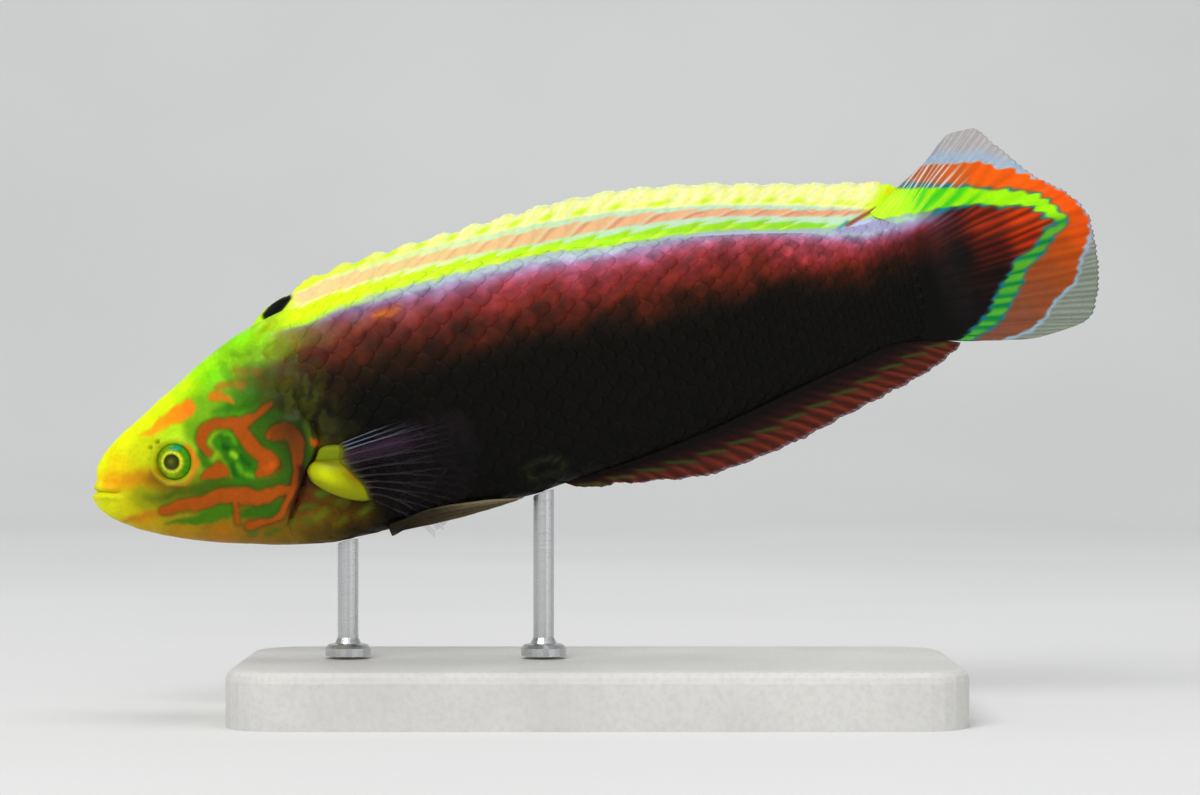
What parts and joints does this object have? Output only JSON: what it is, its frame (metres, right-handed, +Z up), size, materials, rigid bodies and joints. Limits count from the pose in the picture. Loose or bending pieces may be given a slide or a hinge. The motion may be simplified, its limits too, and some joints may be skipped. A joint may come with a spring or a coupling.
{
  "type": "radiant wrasse museum model",
  "caption": "Life-size still model of a radiant wrasse, swimming nose down with spread fins, held over a flat display base by short rods.",
  "frame": {"origin": "centre of the underside of the stand's base plate", "axes": "+Z up, +X from the fish's snout towards its tail, +Y towards the fish's right side"},
  "size_m": [0.1071, 0.036, 0.0624],
  "materials": {
    "head_skin": "wet yellow-green skin with orange bands edged in green",
    "body_skin": "scaled skin, rose and dark red over a near black belly",
    "fin_membrane": "banded yellow, coral and green fin skin over fine rays",
    "tail_membrane": "orange fin skin with a green crescent and clear edges",
    "clear_membrane": "thin, nearly clear olive fin skin over fine rays",
    "eye": "glossy clear cornea over a green and yellow iris",
    "stand_plate": "satin pale grey plate with a fine cast grain",
    "stand_metal": "fine brushed steel"
  },
  "bodies": {
    "root": {"head": "head_skin", "lower_jaw": "head_skin", "gill_cover_left": "head_skin", "gill_cover_right": "head_skin", "eye_left": "eye", "eye_right": "eye", "trunk": "body_skin", "tail_stalk": "body_skin", "dorsal_fin": "fin_membrane", "anal_fin": "fin_membrane", "tail_fin": "tail_membrane", "pectoral_fin_left": "clear_membrane", "pectoral_fin_right": "clear_membrane", "pelvic_fin_left": "clear_membrane", "pelvic_fin_right": "clear_membrane", "stand_base": "stand_plate", "stand_rod_front": "stand_metal", "stand_rod_rear": "stand_metal"}
  },
  "joints": []
}
